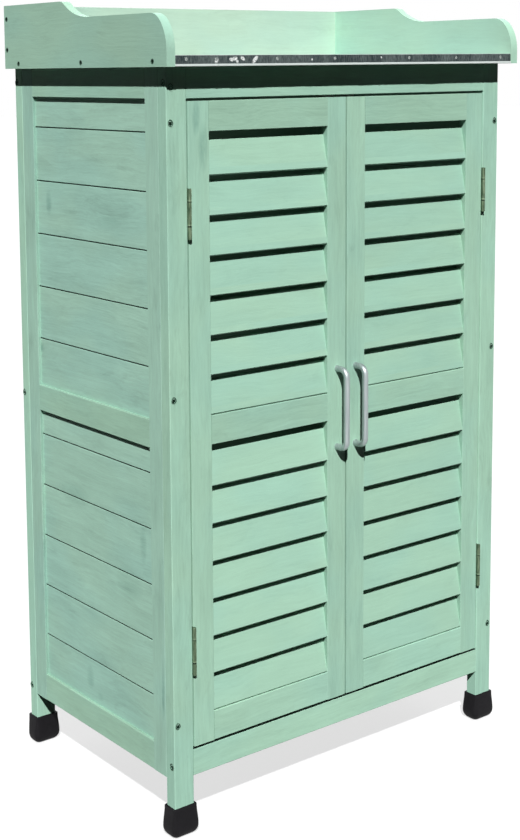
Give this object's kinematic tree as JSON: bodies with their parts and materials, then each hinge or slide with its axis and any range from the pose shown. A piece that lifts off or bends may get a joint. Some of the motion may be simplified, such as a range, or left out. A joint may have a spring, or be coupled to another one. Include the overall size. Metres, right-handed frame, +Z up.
{
  "type": "garden storage cabinet",
  "caption": "Garden storage cabinet of painted timber with louvred doors, boarded sides, shelves inside and a metal-topped potting tray with curved side boards.",
  "frame": {"origin": "on the ground, below the middle of the whole outline", "axes": "+Z up; X across the doors, +X to the right as seen from the front; the doors face -Y"},
  "size_m": [0.734, 0.4588, 1.27],
  "materials": {
    "frame_paint": "satin, brushed sage green paint over planed softwood",
    "door_paint": "satin, brushed sage green paint over planed softwood",
    "plank_paint": "satin, sage green paint over boards with faint grain",
    "slat_paint": "satin, sage green paint over thin slats",
    "tray_paint": "satin, sage green paint over planed boards",
    "shelf_paint": "satin, sage green paint over planed boards",
    "cap_rubber": "matt moulded black rubber",
    "tray_zinc": "galvanised sheet, satin with soft spangle",
    "hinge_bronze": "dark bronzed, satin",
    "handle_steel": "satin nickel",
    "screw_steel": "zinc plated",
    "catch_plastic": "matt off-white",
    "strike_steel": "zinc plated"
  },
  "bodies": {
    "cabinet": {"back_panel_planks": "plank_paint", "back_panel_rails": "frame_paint", "back_panel_stiles": "frame_paint", "floor_boards": "shelf_paint", "frame_screws": "screw_steel", "front_bottom_rail": "frame_paint", "front_left_foot_cap": "cap_rubber", "front_left_leg": "frame_paint", "front_right_foot_cap": "cap_rubber", "front_right_leg": "frame_paint", "front_top_rail": "frame_paint", "left_hinge_frame_leaves": "hinge_bronze", "left_hinge_pins": "hinge_bronze", "left_panel_planks": "plank_paint", "left_panel_rails": "frame_paint", "left_panel_stiles": "frame_paint", "lower_shelf_boards": "shelf_paint", "magnetic_catches": "catch_plastic", "rear_left_foot_cap": "cap_rubber", "rear_left_leg": "frame_paint", "rear_right_foot_cap": "cap_rubber", "rear_right_leg": "frame_paint", "right_hinge_frame_leaves": "hinge_bronze", "right_hinge_pins": "hinge_bronze", "right_panel_planks": "plank_paint", "right_panel_rails": "frame_paint", "right_panel_stiles": "frame_paint", "sheet_nails": "screw_steel", "shelf_battens": "shelf_paint", "tray_back": "tray_paint", "tray_base_boards": "tray_paint", "tray_battens": "tray_paint", "tray_left_side": "tray_paint", "tray_metal_sheet": "tray_zinc", "tray_right_side": "tray_paint", "tray_screws": "screw_steel", "upper_shelf_boards": "shelf_paint"},
    "left_door": {"left_door_bottom_rail": "door_paint", "left_door_handle": "handle_steel", "left_door_handle_screws": "screw_steel", "left_door_hinge_leaves": "hinge_bronze", "left_door_hinge_stile": "door_paint", "left_door_lower_slats": "slat_paint", "left_door_meeting_stile": "door_paint", "left_door_middle_rail": "door_paint", "left_door_strike_plate": "strike_steel", "left_door_top_rail": "door_paint", "left_door_upper_slats": "slat_paint"},
    "right_door": {"right_door_bottom_rail": "door_paint", "right_door_handle": "handle_steel", "right_door_handle_screws": "screw_steel", "right_door_hinge_leaves": "hinge_bronze", "right_door_hinge_stile": "door_paint", "right_door_lower_slats": "slat_paint", "right_door_meeting_stile": "door_paint", "right_door_middle_rail": "door_paint", "right_door_strike_plate": "strike_steel", "right_door_top_rail": "door_paint", "right_door_upper_slats": "slat_paint"}
  },
  "joints": [
    {"name": "left_door_hinge", "type": "hinge", "parent": "cabinet", "child": "left_door", "pos_m": [-0.31275, -0.2049, 0.622], "axis": [0, 0, -1], "range_deg": [0, 180]},
    {"name": "right_door_hinge", "type": "hinge", "parent": "cabinet", "child": "right_door", "pos_m": [0.31275, -0.2049, 0.622], "axis": [0, 0, 1], "range_deg": [0, 180]}
  ]
}
